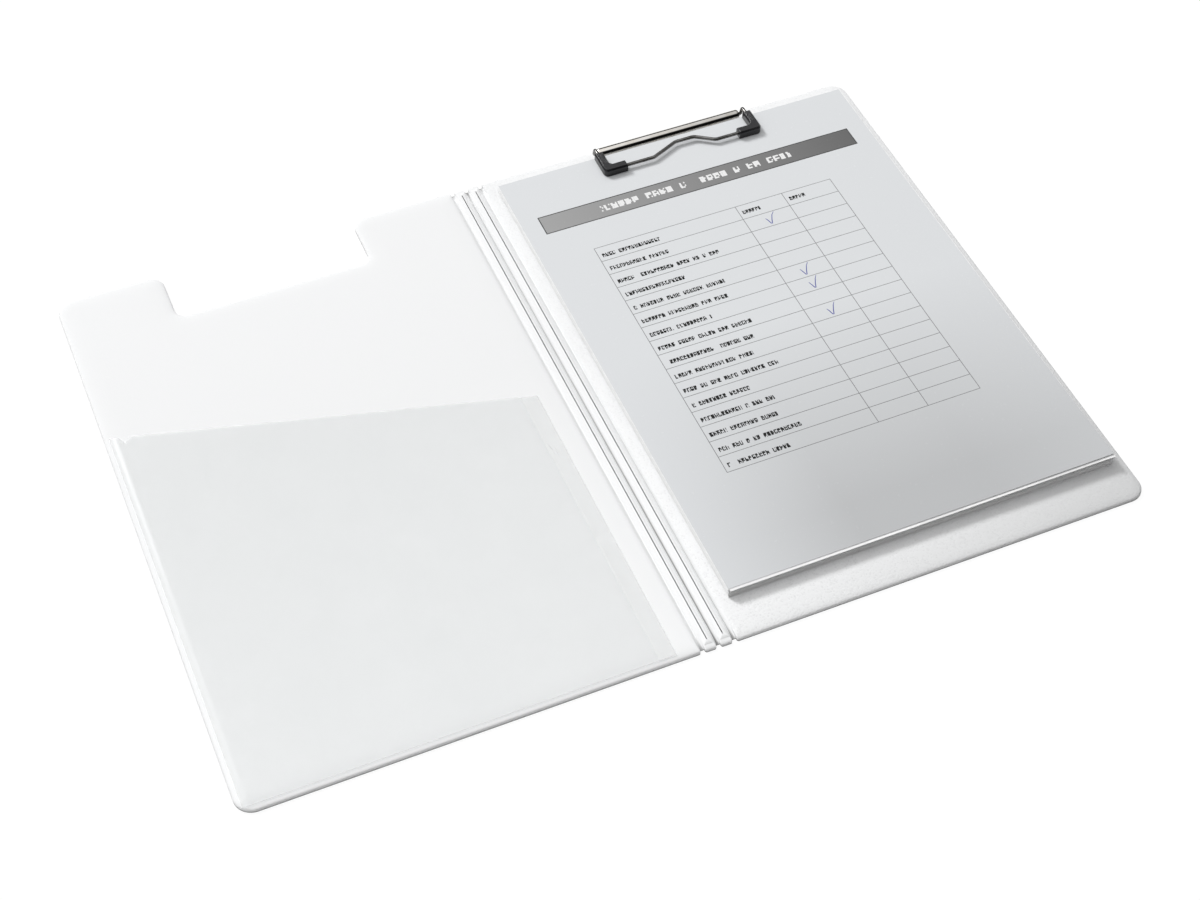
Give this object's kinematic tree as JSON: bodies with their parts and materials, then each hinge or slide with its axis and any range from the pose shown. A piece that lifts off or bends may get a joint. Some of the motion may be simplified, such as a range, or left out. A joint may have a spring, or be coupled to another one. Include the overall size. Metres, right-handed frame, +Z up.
{
  "type": "clipboard folder",
  "caption": "White A4 clipboard folder lying open: folding cover with clear pocket, two-strip spine, back board with a nickel tube clip, wire bail and black grips over a stack of sheets.",
  "frame": {"origin": "middle of the underside of the open folder", "axes": "+Z up out of the open pages, +Y towards the clip, +X from the cover to the back board"},
  "size_m": [0.4634, 0.332, 0.0134],
  "materials": {
    "white_film": "white vinyl film with a fine leather emboss, satin",
    "greyboard": "uncoated grey board",
    "clear_film": "clear polypropylene film, lightly frosted",
    "nickel_plate": "nickel-plated sheet steel, bright",
    "rivet_steel": "plain steel rivet",
    "spring_wire": "nickel-plated spring wire",
    "black_plastic": "black moulded plastic, satin",
    "white_paper": "white copy paper, cut edges",
    "printed_paper": "white paper with a ruled form in grey"
  },
  "bodies": {
    "back_board": {"back_outer_film": "white_film", "back_inner_liner": "white_film", "back_stiffener_board": "greyboard", "clip_base": "nickel_plate", "clip_rivets": "rivet_steel", "crease_back": "white_film"},
    "spine_back": {"spine_back_film": "white_film", "spine_back_liner": "white_film", "spine_back_stiffener": "greyboard", "crease_middle": "white_film"},
    "spine_front": {"spine_front_film": "white_film", "spine_front_liner": "white_film", "spine_front_stiffener": "greyboard", "crease_front": "white_film"},
    "front_cover": {"front_outer_film": "white_film", "front_inner_liner": "white_film", "front_stiffener_board": "greyboard", "clear_pocket": "clear_film"},
    "bail": {"wire_bail": "spring_wire", "left_grip_cap": "black_plastic", "right_grip_cap": "black_plastic"},
    "sheets": {"sheet_stack": "white_paper", "form_sheet": "printed_paper"}
  },
  "joints": [
    {"name": "back_crease_fold", "type": "hinge", "parent": "back_board", "child": "spine_back", "pos_m": [0.0073, 0, 0.0004], "axis": [0, 1, 0], "range_deg": [-60, 60], "deforming": ["crease_back"]},
    {"name": "middle_crease_fold", "type": "hinge", "parent": "spine_back", "child": "spine_front", "pos_m": [-0.0008, 0, 0.0004], "axis": [0, 1, 0], "range_deg": [-60, 60], "deforming": ["crease_middle"]},
    {"name": "front_crease_fold", "type": "hinge", "parent": "spine_front", "child": "front_cover", "pos_m": [-0.0089, 0, 0.0004], "axis": [0, 1, 0], "range_deg": [-60, 60], "deforming": ["crease_front"]},
    {"name": "bail_lift", "type": "hinge", "parent": "back_board", "child": "bail", "pos_m": [0.1195, 0.1598, 0.0058], "axis": [-1, 0, 0], "range_deg": [0, 95], "stiffness_Nm_per_rad": 0.05, "springref_deg": -85.94},
    {"name": "sheets_pull", "type": "slide", "parent": "back_board", "child": "sheets", "axis": [0, -1, 0], "range_m": [0, 0.3]}
  ]
}
